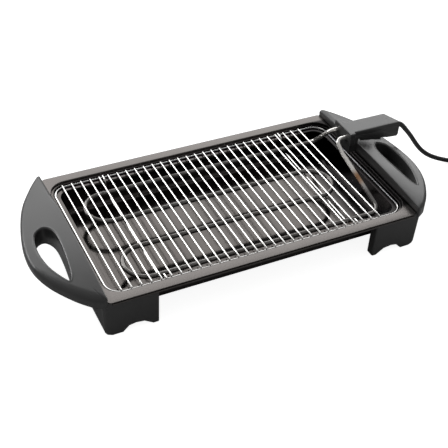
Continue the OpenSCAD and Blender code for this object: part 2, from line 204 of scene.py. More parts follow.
def roundedLoop(halfX, halfY, r, z, perCorner=12, perSide=24):
    # points round a rounded rectangle, the same count at every size, so loops can be lofted
    out = []
    a = np.linspace(0, math.pi / 2, perCorner, endpoint=False)
    x, y = halfX - r, halfY - r
    centres = [(x, y), (-x, y), (-x, -y), (x, -y)]
    for k, (cx, cy) in enumerate(centres):
        turn = a + k * math.pi / 2
        out.append(np.stack([cx + r * np.cos(turn), cy + r * np.sin(turn)], -1))
        nx, ny = centres[(k + 1) % 4]
        end = (k + 1) * math.pi / 2
        start = np.array([cx + r * math.cos(end), cy + r * math.sin(end)])
        stop = np.array([nx + r * math.cos(end), ny + r * math.sin(end)])
        t = np.linspace(0, 1, perSide, endpoint=False)[:, None]
        out.append(start + (stop - start) * t)
    flat = np.concatenate(out)
    return np.column_stack([flat, np.full(len(flat), z)])


def loftPiece(name, loops, material, closeSection=True, smoothAngle=40):
    # loops of equal length joined in order; closeSection joins the last to the first
    points = np.stack(loops)
    faces = gridFaces(points.shape[0], points.shape[1], closeSection, True)
    return makePiece(name, points, faces, material, True, smoothAngle)


def smoothCurve(points, steps=8, closed=False):
    # curve through given points, with steps between each pair
    p = np.asarray(points, float)
    if closed:
        a, b, c, d = np.roll(p, 1, 0), p, np.roll(p, -1, 0), np.roll(p, -2, 0)
    else:
        q = np.concatenate([p[:1], p, p[-1:]])
        a, b, c, d = q[:-3], q[1:-2], q[2:-1], q[3:]
    t = np.linspace(0, 1, steps, endpoint=False)[None, :, None]
    a, b, c, d = (v[:, None] for v in (a, b, c, d))
    square, cube = 2 * a - 5 * b + 4 * c - d, 3 * b - a - 3 * c + d
    curve = (2 * b + (c - a) * t + square * t ** 2 + cube * t ** 3) / 2
    curve = curve.reshape(-1, p.shape[1])
    return curve if closed else np.concatenate([curve, p[-1:]])


def evenPoints(points, count, closed=False):
    # the same curve with its points evenly spaced along it
    p = np.concatenate([points, points[:1]]) if closed else points
    run = np.concatenate([[0], np.cumsum(np.linalg.norm(np.diff(p, axis=0), axis=1))])
    t = np.linspace(0, run[-1], count, endpoint=not closed)
    return np.stack([np.interp(t, run, p[:, k]) for k in range(p.shape[1])], -1)


def insetLoop(curve, inset):
    # a closed flat curve moved inwards by a distance, along its own normals
    along = unit(np.roll(curve, -1, 0) - np.roll(curve, 1, 0))
    area = (curve[:, 0] * np.roll(curve[:, 1], -1) - np.roll(curve[:, 0], -1) * curve[:, 1]).sum()
    inward = np.column_stack([-along[:, 1], along[:, 0]]) * math.copysign(1, area)
    return curve + inward * np.broadcast_to(inset, len(curve))[:, None]


def roundedCorners(corners, radii, steps=6):
    # a closed flat outline with each corner turned into an arc
    p = np.asarray(corners, float)
    p = np.column_stack([p, np.zeros(len(p))])
    out = []
    for k in range(len(p)):
        out.append(bentPath([p[k - 1], p[k], p[(k + 1) % len(p)]], [radii[k]], steps)[1:-1, :2])
    return np.concatenate(out)


# Camera: the photograph's angle, distance and slight roll

cameraView = {"place": (-470.67, -878.51, 821.87), "right": (0.89962, -0.43459, 0.04383),
              "up": (0.24562, 0.58632, 0.77195), "lens": 75.59, "sensor": 36}


def makeCamera():
    data = bpy.data.cameras.new("studioCamera")
    data.lens = cameraView["lens"]
    data.sensor_width = cameraView["sensor"]
    data.sensor_fit = "HORIZONTAL"
    data.clip_start = 0.05
    data.clip_end = 60
    camera = bpy.data.objects.new("studioCamera", data)
    bpy.context.collection.objects.link(camera)
    right = Vector(cameraView["right"]).normalized()
    up = Vector(cameraView["up"])
    up = (up - right * up.dot(right)).normalized()
    turn = Matrix((right, up, right.cross(up))).transposed().to_4x4()
    camera.matrix_world = Matrix.Translation(Vector(cameraView["place"]) * 0.001) @ turn
    bpy.context.scene.camera = camera


makeCamera()
print("camera placed")


# Materials: each is a Principled surface with its own bump and variation

def newMaterial(name):
    material = bpy.data.materials.new(name)
    material.use_nodes = True
    nodes = material.node_tree.nodes
    return material, nodes, material.node_tree.links, nodes["Principled BSDF"]


def newMetal(name, metallic=1.0):
    # a new material whose surface is metal
    material, nodes, links, surface = newMaterial(name)
    surface.inputs["Metallic"].default_value = metallic
    return material, nodes, links, surface


def addNoise(nodes, links, scale, detail):
    place = nodes.new("ShaderNodeTexCoord")
    noise = nodes.new("ShaderNodeTexNoise")
    noise.inputs["Scale"].default_value = scale
    noise.inputs["Detail"].default_value = detail
    links.new(place.outputs["Object"], noise.inputs["Vector"])
    return noise.outputs["Fac"]


def addRamp(nodes, links, source, low, high):
    # from one colour at 0.3 of the source to the other at 0.7
    ramp = nodes.new("ShaderNodeValToRGB")
    first, last = ramp.color_ramp.elements
    first.position, first.color = 0.3, low
    last.position, last.color = 0.7, high
    links.new(source, ramp.inputs["Fac"])
    return ramp.outputs["Color"]


def addGloss(nodes, links, source, surface, low, high):
    # the surface's roughness varies between two values
    links.new(addRamp(nodes, links, source, gray(low), gray(high)), surface.inputs["Roughness"])


def addBump(nodes, links, height, surface, strength, distance=0.0002):
    bump = nodes.new("ShaderNodeBump")
    bump.inputs["Strength"].default_value = strength
    bump.inputs["Distance"].default_value = distance
    links.new(height, bump.inputs["Height"])
    links.new(bump.outputs["Normal"], surface.inputs["Normal"])


def addStep(nodes, links, axis, start, stop):
    # 0 before one place along an axis, 1 beyond another, in metres of the frame
    place = nodes.new("ShaderNodeTexCoord")
    split = nodes.new("ShaderNodeSeparateXYZ")
    links.new(place.outputs["Object"], split.inputs["Vector"])
    step = nodes.new("ShaderNodeMapRange")
    step.interpolation_type = "SMOOTHSTEP"
    step.inputs["From Min"].default_value = start
    step.inputs["From Max"].default_value = stop
    links.new(split.outputs[axis], step.inputs["Value"])
    return step.outputs["Result"]


def addProduct(nodes, links, a, b):
    product = nodes.new("ShaderNodeMath")
    product.operation = "MULTIPLY"
    links.new(a, product.inputs[0])
    links.new(b, product.inputs[1])
    return product.outputs[0]


def addMix(nodes, links, factor, source, color):
    # a colour laid over another by a factor
    mix = nodes.new("ShaderNodeMix")
    mix.data_type = "RGBA"
    links.new(factor, mix.inputs[0])
    links.new(source, mix.inputs[6])
    mix.inputs[7].default_value = color
    return mix.outputs[2]


def gray(level):
    return (level, level, level, 1)


def mouldedPlastic(name, level, roughness, grain=2600, strength=0.12, tint=(1, 1, 1), gloss=0.5):
    # satin moulded plastic: a fine grain, and a faint unevenness of its tone and gloss
    material, nodes, links, surface = newMaterial(name)
    surface.inputs["Specular IOR Level"].default_value = gloss
    broad = addNoise(nodes, links, 18, 3)
    low = tuple(level * 0.94 * t for t in tint) + (1,)
    high = tuple(level * 1.06 * t for t in tint) + (1,)
    links.new(addRamp(nodes, links, broad, low, high), surface.inputs["Base Color"])
    addGloss(nodes, links, broad, surface, roughness - 0.03, roughness + 0.03)
    addBump(nodes, links, addNoise(nodes, links, grain, 2), surface, strength)
    return material


def darkSheet(name, color, roughness, wave, shadeFrom):
    # coated steel sheet, flat or very slightly wavy; painted shade makes it nearly black beside the right
    # handle
    material, nodes, links, surface = newMetal(name)
    broad = addNoise(nodes, links, 9, 2)
    low = tuple(0.95 * c for c in color) + (1,)
    high = tuple(1.05 * c for c in color) + (1,)
    tone = addRamp(nodes, links, broad, low, high)
    # painted shade: beyond shadeFrom along X, except near the front and back edges, the tone turns nearly
    # black
    end = addStep(nodes, links, "X", *shadeFrom)
    shade = addProduct(nodes, links, end, addStep(nodes, links, "Y", -0.113, -0.105))
    shade = addProduct(nodes, links, shade, addStep(nodes, links, "Y", 0.118, 0.113))
    links.new(addMix(nodes, links, shade, tone, (0.011, 0.01, 0.01, 1)), surface.inputs["Base Color"])
    addGloss(nodes, links, addNoise(nodes, links, 500, 4), surface, roughness - 0.02, roughness + 0.03)
    addBump(nodes, links, broad, surface, wave, 0.002)
    return material


def platedWire(name):
    # bright plated wire with faint drawing marks; painted shade darkens its edge wire in front, behind and at
    # the right
    material, nodes, links, surface = newMetal(name)
    tone = addRamp(nodes, links, addNoise(nodes, links, 60, 3), (0.7, 0.69, 0.67, 1), (0.8, 0.8, 0.79, 1))
    # painted shade on the edge wire, which lies below the cross wires: dark in front, grey behind, nearly
    # black at the right end
    level = (rackShape["crossZ"] + rackShape["edgeZ"]) * 0.0005
    low = addStep(nodes, links, "Z", level + 0.0001, level - 0.0001)
    front = addProduct(nodes, links, low, addStep(nodes, links, "Y", -0.1, -0.105))
    tone = addMix(nodes, links, front, tone, gray(0.08))
    back = addProduct(nodes, links, low, addStep(nodes, links, "Y", 0.1, 0.105))
    tone = addMix(nodes, links, back, tone, gray(0.3))
    tone = addMix(nodes, links, addStep(nodes, links, "X", 0.2015, 0.2045), tone, (0.06, 0.06, 0.065, 1))
    links.new(tone, surface.inputs["Base Color"])
    fine = addNoise(nodes, links, 1500, 3)
    addGloss(nodes, links, fine, surface, 0.14, 0.24)
    addBump(nodes, links, fine, surface, 0.05)
    return material


def heatTube(name):
    # oxidised steel tube: grey with brownish patches, brighter and tinted by heat where it leaves the grill
    material, nodes, links, surface = newMetal(name, 0.85)
    broad = addNoise(nodes, links, 35, 5)
    tone = addRamp(nodes, links, broad, (0.12, 0.113, 0.106, 1), (0.2, 0.194, 0.188, 1))
    lead = addStep(nodes, links, "X", 0.172, 0.18)
    lead = addProduct(nodes, links, lead, addStep(nodes, links, "Y", -0.06, -0.03))
    clean = addMix(nodes, links, lead, tone, (0.78, 0.76, 0.73, 1))
    heat = addStep(nodes, links, "Y", -0.05, -0.038)
    heat = addProduct(nodes, links, heat, addStep(nodes, links, "Y", -0.014, -0.03))
    bronze = addMix(nodes, links, addProduct(nodes, links, heat, lead), clean, (0.34, 0.19, 0.1, 1))
    links.new(bronze, surface.inputs["Base Color"])
    sheen = addRamp(nodes, links, broad, gray(0.32), gray(0.22))
    links.new(addMix(nodes, links, lead, sheen, gray(0.2)), surface.inputs["Roughness"])
    addBump(nodes, links, addNoise(nodes, links, 900, 4), surface, 0.05)
    return material


def cleanSteel(name, level, roughness):
    # bare metal with a slight unevenness of its tone and gloss
    material, nodes, links, surface = newMetal(name)
    fine = addNoise(nodes, links, 400, 4)
    tone = addRamp(nodes, links, fine, gray(level * 0.93), gray(level * 1.05))
    links.new(tone, surface.inputs["Base Color"])
    addGloss(nodes, links, fine, surface, roughness - 0.06, roughness + 0.06)
    return material


handlePlastic = mouldedPlastic("handlePlastic", 0.032, 0.33)
footPlastic = mouldedPlastic("footPlastic", 0.038, 0.45)
boxPlastic = mouldedPlastic("boxPlastic", 0.034, 0.3, gloss=0.6)
# the last pair of each sheet: where its painted shade begins along X, in metres
rimSheet = darkSheet("rimSheet", (0.1, 0.093, 0.089), 0.24, 0.01, (0.187, 0.194))
panSheet = darkSheet("panSheet", (0.062, 0.057, 0.054), 0.12, 0.0, (0.152, 0.172))
heaterTube = heatTube("heaterTube")
screwSteel = cleanSteel("screwSteel", 0.6, 0.3)
cordJacket = mouldedPlastic("cordJacket", 0.014, 0.42, grain=1800, strength=0.2)
plugPlastic = mouldedPlastic("plugPlastic", 0.018, 0.45)
ceramic = mouldedPlastic("ceramic", 0.7, 0.6, tint=(1, 0.97, 0.9))
pinMetal = cleanSteel("pinMetal", 0.7, 0.22)
print("materials made")


# Mains cord: out of the box, down to the table and into a coil outside the view

cordShape = {"diameter": 6.8, "coilAt": (398, -42), "coilRadius": 37.5, "tailLength": 27.5, "plugZ": 18.5,
             "route": [(304.5, 31, 66.4), (312.6, 31, 57), (317.8, 31, 50.4), (322.6, 30.8, 43.8),
                       (327.4, 30.4, 37.1), (332.4, 29.6, 30.4), (337.9, 28.3, 23.8), (344.1, 26.1, 17.8),
                       (351.2, 23.2, 12.7), (359.5, 19.5, 8.7), (368.8, 15, 5.8), (378.6, 9.5, 4.2),
                       (388.6, 3.6, 3.6), (398.6, -2.4, 3.5)]}


def cordPath():
    # the listed route, then five turns that climb two by two, then the tail to the plug
    d = cordShape["diameter"]
    cx, cy = cordShape["coilAt"]
    outer, inner = cordShape["coilRadius"] + d / 2, cordShape["coilRadius"] - d / 2
    low, middle, high = d / 2 + 0.1, d * 1.5 + 0.1, d * 2.5 - 0.1
    turns = np.array([0, 0.86, 1.1, 1.9, 2.15, 2.9, 3.15, 3.9, 4.2, 5.13])
    radii = [outer] * 2 + [inner] * 4 + [outer] * 4
    heights = [low] * 4 + [middle] * 4 + [high] * 2
    start = math.radians(61)
    t = np.linspace(0, turns[-1], int(turns[-1] * 36))
    reach, rise = np.interp(t, turns, radii), np.interp(t, turns, heights)
    angle = start - t * 2 * math.pi * (start / (2 * math.pi) + 5) / turns[-1]
    coil = np.stack([cx + reach * np.cos(angle), cy + reach * np.sin(angle), rise], -1)
    tail = [(cx + outer, cy - cordShape["tailLength"] * part, cordShape["plugZ"]) for part in (0.67, 1)]
    return np.concatenate([np.array(cordShape["route"], float), coil, np.array(tail)])


def makeCord():
    path = cordPath()
    smooth = evenPoints(smoothCurve(path, 4), 700)
    keep = np.array([0.25, 0.5, 0.25])
    for turn in range(12):
        inside = np.stack([np.convolve(smooth[:, k], keep, "valid") for k in range(3)], -1)
        smooth = np.concatenate([smooth[:1], inside, smooth[-1:]])
    points = tubePoints(smooth, cordShape["diameter"] / 2, 16)
    cord = makePiece("mainsCord", points, cappedFaces(len(smooth), 16), cordJacket)
    length = float(np.linalg.norm(np.diff(smooth, axis=0), axis=1).sum())
    print("cord length, mm:", round(length, 1))
    return cord, smooth, length


mainsCord, cordLine, cordLength = makeCord()
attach(mainsCord, "cooking_unit")
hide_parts("mains_cord", "cord_coil", "cord_tail")


def makeTie():
    # a strap round one side of the coil, one turn
    d = cordShape["diameter"]
    cx, cy = cordShape["coilAt"]
    turn = math.radians(200)
    out = np.array([math.cos(turn), math.sin(turn), 0])
    centre = np.array([cx, cy, 1.5 * d]) + cordShape["coilRadius"] * out
    a = np.linspace(0, 2 * math.pi, 48, endpoint=False)
    x = np.clip(np.cos(a) * 1.35, -1, 1) * (d + 0.2)
    z = np.clip(np.sin(a) * 1.35, -1, 1) * (1.5 * d)
    ring = centre + x[:, None] * out + z[:, None] * np.array([0, 0, 1])
    side = np.array([-out[1], out[0], 0])
    strip = np.stack([ring + side * s for s in (-3.5, 3.5)], 1)
    outerStrip = strip + (unit(ring - centre) * 0.9)[:, None]
    points = np.stack([strip[:, 0], strip[:, 1], outerStrip[:, 1], outerStrip[:, 0]], 1)
    points[..., 2] = np.maximum(points[..., 2], 0.05)
    return makePiece("cordTie", points, gridFaces(len(ring), 4, True, True), plugPlastic, True, 30)


def makePlug():
    # two-pin plug lying on the table, its body turned about its axis
    s = cordShape
    cx, cy = s["coilAt"]
    start = np.array([cx + s["coilRadius"] + s["diameter"] / 2, cy - s["tailLength"], s["plugZ"]])
    profile = smoothCurve([(3.5, 0), (4.3, 0.6), (4.6, 8), (5.3, 16), (6.6, 20), (10.5, 22.6), (14.5, 26.5),
                           (17.2, 31.5), (18.3, 37), (18.35, 46), (18.3, 55), (17.6, 56), (0.05, 56)], 5)
    profile[:, 0] = np.clip(profile[:, 0], 0.05, 18.35)
    a = np.linspace(0, 2 * math.pi, 64, endpoint=False)
    grip = 1 - 0.07 * np.clip((profile[:, 1] - 34) / 6, 0, 1) * np.clip((54 - profile[:, 1]) / 3, 0, 1)
    flat = np.exp(-(np.cos(a) ** 2 - 1) ** 2 / 0.02)
    radius = profile[:, :1] * (1 - (1 - grip)[:, None] * flat[None])
    points = np.stack([start[0] + radius * np.cos(a), start[1] - profile[:, 1:] + 0 * a,
                       start[2] + radius * np.sin(a)], -1)
    body = makePiece("plugBody", points, cappedFaces(len(profile), 64), plugPlastic, True, 35)
    pins = []
    for x in (-9.5, 9.5):
        line = [start + [x, y, 0] for y in (-55, -65, -75)]
        pins.append(tubePiece("pin", line, 2.4, pinMetal, 24))
    return body, joinPieces("plugPins", pins)


cordTie = makeTie()
plugBody, plugPins = makePlug()
for piece, node, slot in ((plugBody, "plug_body", "cord_rubber"), (plugPins, "plug_pins", "pin_brass")):
    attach(piece, "cooking_unit")
    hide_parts(node)
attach(cordTie, "cooking_unit")
print("cord, tie and plug made")


# Cooking rack: cross wires laid on the edge wire, and the wires that carry the heating tube

rackShape = {"pitch": 13, "count": 29, "crossRadius": 1.02, "edgeRadius": 1.4, "length": 417, "width": 222,
             "crossZ": 49.8, "edgeZ": 47.15, "shift": -11.5, "corner": 20, "cradleX": (-136, 136.5),
             "cradleZ": 32.75, "cradleReach": 101}

rackWire = platedWire("rackWire")


def makeRack():
    s = rackShape
    pieces = []
    half = s["width"] / 2 + 0.5
    for i in range(s["count"]):
        x = (i - (s["count"] - 1) / 2) * s["pitch"] + s["shift"]
        y = np.linspace(-half, half, 13)
        line = np.column_stack([np.full(13, x), y, np.full(13, s["crossZ"])])
        pieces.append(tubePiece("wire", line, s["crossRadius"], rackWire, 16))
    edge = roundedLoop(s["length"] / 2, s["width"] / 2, s["corner"], s["edgeZ"], 16, 12)
    pieces.append(tubePiece("edge", edge, s["edgeRadius"], rackWire, 20, closed=True))
    return joinPieces("cookingRack", pieces)


def makeCradle(name, x):
    s = rackShape
    end, reach = s["width"] / 2 + 2, s["cradleReach"]
    corners = [(x, end, s["crossZ"]), (x, reach, s["crossZ"]), (x, reach - 3, s["cradleZ"]),
               (x, 3 - reach, s["cradleZ"]), (x, -reach, s["crossZ"]), (x, -end, s["crossZ"])]
    return tubePiece(name, bentPath(corners, [5, 5, 5, 5]), s["crossRadius"], rackWire, 16, up=(1, 0, 0))


cookingRack = makeRack()
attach(cookingRack, "cooking_unit")
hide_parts("cooking_rack")
for side, x in zip(("left", "right"), rackShape["cradleX"]):
    cradle = makeCradle(side + "Cradle", x)
    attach(cradle, "cooking_unit")
    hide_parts(side + "_element_cradle")
print("rack made")


# Heating tube: four runs and two leads up to the control box

tubeShape = {"radius": 3.25, "z": 37.3, "runs": (89.5, 29.8, -29.8, -89.5), "leftTurns": (-178, -171),
             "rightTurn": 160, "leadX": 187, "leadY": (56, 33), "leadZ": 76.3, "endX": 206}


def makeHeater():
    s = tubeShape
    y = s["runs"]
    turn = (y[0] - y[1]) / 2 - 0.2
    z, endX, leadX, leadZ = s["z"], s["endX"], s["leadX"], s["leadZ"]
    backY, frontY = s["leadY"]
    backTurn, frontTurn = s["leftTurns"]
    corners = [(endX, backY, leadZ), (190, backY, leadZ), (186, y[0], z), (backTurn, y[0], z),
               (backTurn, y[1], z), (s["rightTurn"], y[1], z), (s["rightTurn"], y[2], z),
               (frontTurn, y[2], z), (frontTurn, y[3], z), (leadX, y[3], z), (leadX, 16, 65),
               (leadX, frontY, leadZ), (endX, frontY, leadZ)]
    path = bentPath(corners, [10, 12, turn, turn, turn, turn, turn, turn, 15, 30, 8], 14)
    return tubePiece("heatingTube", path, s["radius"], heaterTube, 32)


heatingTube = makeHeater()
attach(heatingTube, "cooking_unit")
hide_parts("heating_element")
print("heating tube made")


# Sheet rim: flat top, bent opening edge, ledge for the pan, hem along the front and back

rimShape = {"top": 53, "endX": 217.5, "halfY": 130.5, "corner": 6, "opening": (214.5, 115.8),
            "openingCorner": 25.6, "bend": 1.0, "drop": 4.5, "ledge": 2.5, "sheet": 1, "hemEndX": 212,
            "hemY": (128.4, 131.2), "hemZ": (49.3, 51.5), "hemRound": 0.22, "tabEndX": 232, "tabEndY": 108,
            "edge": ((0, 0.7, 0, 1), (0, 0.7, 0, 0.4), (0.1, 0.8, 0.1, 0.1), (0.4, 1, 0.4, 0),
                     (0.6, 1.2, 0.5, 0), (1.2, 3, 0, 0))}


def makeRim():
    s = rimShape
    top, t, (ox, oy), rc = s["top"], s["sheet"], s["opening"], s["openingCorner"]
    loops = [roundedLoop(s["endX"] - dx, s["halfY"] - dy, s["corner"] - dr, top - dz)
             for dx, dy, dr, dz in s["edge"]]
    b = s["bend"]
    for a in quarterTurn(7):
        grow = b * (1 - math.sin(a))
        loops.append(roundedLoop(ox + grow, oy + grow, rc + grow, top - b * (1 - math.cos(a))))
    ledgeZ, ledge = top - s["drop"] + t, s["ledge"]
    for grow, z in ((0, ledgeZ + 0.4), (-0.3, ledgeZ), (-ledge, ledgeZ), (-ledge, ledgeZ - t),
                    (t, ledgeZ - t), (t, top - t - 1)):
        loops.append(roundedLoop(ox + grow, oy + grow, rc + grow, z))
    pieces = [loftPiece("rimSheet", loops, rimSheet)]
    for side in (-1, 1):
        ys = [side * y for y in s["hemY"]]
        hem = blockPiece("hem", (-s["hemEndX"], s["hemEndX"]), ys, s["hemZ"], rimSheet)
        bevelPiece(hem, s["hemRound"], 3)
        pieces.append(hem)
    for side in (-1, 1):
        xs = (side * s["endX"], side * s["tabEndX"])
        pieces.append(blockPiece("tab", xs, (-s["tabEndY"], s["tabEndY"]), (top - t, top), rimSheet))
    return joinPieces("rimFrame", pieces)


rimFrame = makeRim()
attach(rimFrame, "base")
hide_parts("rim_frame")
print("rim made")


# Drip pan: lip on the rim's ledge, upper wall, ledge under the rack, drafted lower wall and floor

panShape = {"lip": (214.2, 116.2, 25.7), "wall": (211.8, 113.8, 23.5), "throat": (202.8, 104.8, 16),
            "floor": (198.8, 100.8, 12), "lipZ": 49.5, "ledgeZ": 45.6, "floorZ": 11.5, "sheet": 0.8,
            "lipBend": 1.2, "throatBend": 0.7, "floorBend": 7.0, "outerBend": 2.4,
            "floorRings": (0.7, 0.35, 0.1)}


def makePan():
    s = panShape
    t = s["sheet"]
    lx, ly, lr = s["lip"]
    wx, wy, wr = s["wall"]
    hx, hy, hr = s["throat"]
    fx, fy, fr = s["floor"]
    lipTop = s["lipZ"] + t

    def inside(x, y, r, z, inset=0.0):
        return roundedLoop(x - inset, y - inset, max(r - inset, 0.6), z)

    def lowerWall(angles, bend, z, back):
        # the leaning wall's foot, rounded into the floor
        for a in angles:
            rise = bend * (1 - math.sin(a))
            inset = back + bend * (1 - math.cos(a))
            grow = lean * rise
            corner = max(fr + grow - inset + 4, 3)
            loops.append(roundedLoop(fx + grow - inset, fy + grow - inset, corner, z + rise))

    loops = [inside(lx, ly, lr, s["lipZ"]), inside(lx, ly, lr, lipTop - 0.2), inside(lx, ly, lr, lipTop, 0.2)]
    bend = s["lipBend"]
    for a in quarterTurn(6):
        loops.append(inside(wx, wy, wr, lipTop - bend * (1 - math.cos(a)), t - bend * (1 - math.sin(a))))
    for a in quarterTurn(5):
        loops.append(inside(wx, wy, wr, s["ledgeZ"] + 1 - math.sin(a), t + 1 - math.cos(a)))
    bend = s["throatBend"]
    for a in quarterTurn(6):
        loops.append(inside(hx, hy, hr, s["ledgeZ"] - bend * (1 - math.cos(a)), t - bend * (1 - math.sin(a))))
    lean = (hx - fx) / (s["ledgeZ"] - s["floorZ"])
    turn = quarterTurn(9)
    lowerWall(turn, s["floorBend"], s["floorZ"], t)
    for part in s["floorRings"]:
        loops.append(roundedLoop(fx * part, fy * part, 6 * part, s["floorZ"]))
    loops.append(roundedLoop(0.2, 0.2, 0.1, s["floorZ"]))
    loops.append(roundedLoop(0.2, 0.2, 0.1, s["floorZ"] - t))
    for part in s["floorRings"][::-1]:
        loops.append(roundedLoop(fx * part, fy * part, 6 * part, s["floorZ"] - t))
    lowerWall(turn[::-1], s["outerBend"], s["floorZ"] - t, 0)
    loops += [inside(hx, hy, hr, s["ledgeZ"] - t - 0.1), inside(wx, wy, wr, s["ledgeZ"] - t),
              inside(wx, wy, wr, s["lipZ"])]
    return loftPiece("dripPan", loops, panSheet)


dripPan = makePan()
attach(dripPan, "pan")
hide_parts("drip_pan", "drip_pan_floor")
print("pan made")


# Handles: a domed plate with a hand hole, turned down all round

handleShape = {"endX": 217.5, "halfY": 130.5, "top": 68.5, "fall": 13.5, "reach": 63.5, "sag": 6,
               "bottom": 46.5, "rimTop": 53.05, "innerRound": 1.1, "backRoll": 6, "backRollY": (50, 90),
               "outerRound": 4.5, "leftRoll": 11, "leftRollY": (-90, -62, -40), "holeLip": 2.5,
               "holeRound": 1.8, "holeSteps": (0.3, 0.7, 1.2, 2.0), "bead": 0.35, "collarZ": 38, "draft": 3.2,
               "wall": 2.6, "centre": (252, -30), "bossAt": (228, 98),
               "ribEnds": ((-66, 237.5), (-12, 234.5), (62, 254)), "recessZ": (41, 38),
               "slot": ((225.4, 29.4, 40), (262.6, 46.6, 80)),
               "rim": [(226, 125.5), (240, 107), (258, 78), (271, 42), (279.5, 2), (280, -36), (270, -70),
                       (250, -103), (232, -123.5)],
               "hole": [(236.5, 6), (247, 21.5), (262, 15), (267.5, -12), (264, -46), (253, -76),
                        (246, -84.5), (240, -70), (235.5, -25)]}


def handleOutline():
    s = handleShape
    curve = smoothCurve(s["rim"], 10)
    ends = np.array([[s["endX"] + 5, 129.5]]), np.array([[s["endX"] + 4, -129.8]])
    corners = np.array([[s["endX"], -s["halfY"]], [s["endX"], s["halfY"]]])
    whole = np.concatenate([ends[0], curve, ends[1], corners])
    dense = evenPoints(whole, 2400, True)
    keep = np.hanning(15) / np.hanning(15).sum()
    wrapped = np.concatenate([dense[-7:], dense, dense[:7]])
    return np.stack([np.convolve(wrapped[:, k], keep, "valid") for k in range(2)], -1)


def handleHole():
    # the wall of the hand hole stands inside the lip that was drawn
    s = handleShape
    return insetLoop(evenPoints(smoothCurve(s["hole"], 24, True), 216, True), s["holeLip"])


def edgeDistance(points, outline):
    # distance from each point to the nearest stretch of a closed outline
    a = outline
    b = np.roll(outline, -1, 0)
    along = b - a
    flat = points.reshape(-1, 2)
    out = np.empty(len(flat))
    for part in np.array_split(np.arange(len(flat)), max(1, len(flat) // 2000)):
        t = np.clip(((flat[part, None] - a) * along).sum(-1) / (along ** 2).sum(-1), 0, 1)
        out[part] = np.linalg.norm(flat[part, None] - a - t[..., None] * along, axis=-1).min(1)
    return out.reshape(points.shape[:-1])


def handleTop(x, y):
    # height of the plate: it falls outwards and towards both ends
    s = handleShape
    out = np.clip((x - s["endX"]) / s["reach"], 0, 1.2)
    return s["top"] - s["fall"] * out ** 1.4 - s["sag"] * (y / s["halfY"]) ** 2


def makeHandle(name, side):
    # rays from the hole to the rim carry a grid: down the hole's wall, over the plate and down the skirt
    s = handleShape
    centre = np.array(s["centre"], float)
    outline = handleOutline()
    hole = handleHole()
    rim = evenPoints(outline, 720, True)
    angles = np.arctan2(*(rim - centre).T[::-1])
    holeAngles = np.arctan2(*(hole - centre).T[::-1])
    order = np.argsort(holeAngles)
    holeReach = np.linalg.norm(hole - centre, axis=1)[order]
    holeRadius = np.interp(angles, holeAngles[order], holeReach, period=2 * math.pi)
    ray = unit(rim - centre)
    inner = centre + ray * holeRadius[:, None]
    rimNormal = unit(np.stack([np.gradient(rim[:, 1]), -np.gradient(rim[:, 0])], -1))
    rimSlope = np.clip(np.abs((rimNormal * ray).sum(-1)), 0.25, 1)
    innerTangent = np.roll(inner, -1, 0) - np.roll(inner, 1, 0)
    innerNormal = unit(np.stack([innerTangent[:, 1], -innerTangent[:, 0]], -1))
    innerSlope = np.clip(np.abs((innerNormal * ray).sum(-1)), 0.35, 1)
    length = np.linalg.norm(rim - inner, axis=1)
    onInner = np.clip((s["endX"] + 3 - rim[:, 0]) / 3, 0, 1)
    rimRound, holeRound = s["outerRound"], s["holeRound"]
    frontRound = s["leftRoll"] if side < 0 else rimRound
    roll = np.interp(rim[:, 1], s["leftRollY"], [frontRound, 0.3 * rimRound + 0.7 * frontRound, rimRound])
    innerRound = np.interp(rim[:, 1], s["backRollY"], [s["innerRound"], s["backRoll"]])
    outerRound = roll + (innerRound - roll) * onInner
    steps = quarterTurn(8)
    lipSteps = np.concatenate([holeRound * (1 - np.cos(steps)), holeRound + np.array(s["holeSteps"])])
    holePart = lipSteps[None] / innerSlope[:, None]
    span = np.minimum(outerRound / rimSlope, length - holePart[:, -1] - 2)
    rimPart = length[:, None] - span[:, None] * (1 - np.cos(steps[::-1]))[None]
    middle = holePart[:, -1:] + (rimPart[:, :1] - holePart[:, -1:]) * np.linspace(0, 1, 14)[None, 1:-1]
    reach = np.concatenate([holePart, middle, rimPart], 1)
    flat = inner[:, None] + ray[:, None] * reach[..., None]
    toRim, toHole = edgeDistance(flat, outline), edgeDistance(flat, hole)
    toRim[:, -1] = 0
    toHole[:, 0] = 0
    rimFall = outerRound[:, None]
    over = np.clip(1 - toRim / rimFall, 0, 1)
    overHole = np.clip(1 - toHole / holeRound, 0, 1)
    z = handleTop(flat[..., 0], flat[..., 1])
    z = z - rimFall * (1 - np.sqrt(1 - over ** 2)) - holeRound * (1 - np.sqrt(1 - overHole ** 2))
    z = z + s["bead"] * np.exp(-((toHole - holeRound - 0.3) / 0.6) ** 2)
    plate = np.concatenate([flat, z[..., None]], -1)
    onFrame = (rim[:, 0] < s["endX"] + 1.2) & (np.abs(rim[:, 1]) < 128)
    bottom = np.where(onFrame, s["rimTop"], s["bottom"])[:, None]
    quarters = np.array([[0, 0.25, 0.5, 0.75]])
    lean = s["draft"] * np.clip(ray[:, :1], 0, 1) * (1 - quarters)
    collar = inner[:, None] - ray[:, None] * lean[..., None]
    collarFall = s["collarZ"] + (z[:, :1] - s["collarZ"]) * quarters
    skirtFall = z[:, -1:] + (bottom - z[:, -1:]) * (quarters + 0.25)
    down = np.concatenate([collar, collarFall[..., None]], -1)
    skirt = np.concatenate([rim[:, None].repeat(4, 1), skirtFall[..., None]], -1)
    sheet = np.concatenate([down, plate, skirt], 1)
    sheet[..., 0] *= side
    rows, cols = sheet.shape[:2]
    piece = makePiece(name, sheet, gridFaces(rows, cols, True, False), handlePlastic, False, 0)
    if piece.data.polygons[cols * 10 + 12].normal.z < 0:
        piece.data.flip_normals()
    thickenPiece(piece, s["wall"])
    return piece


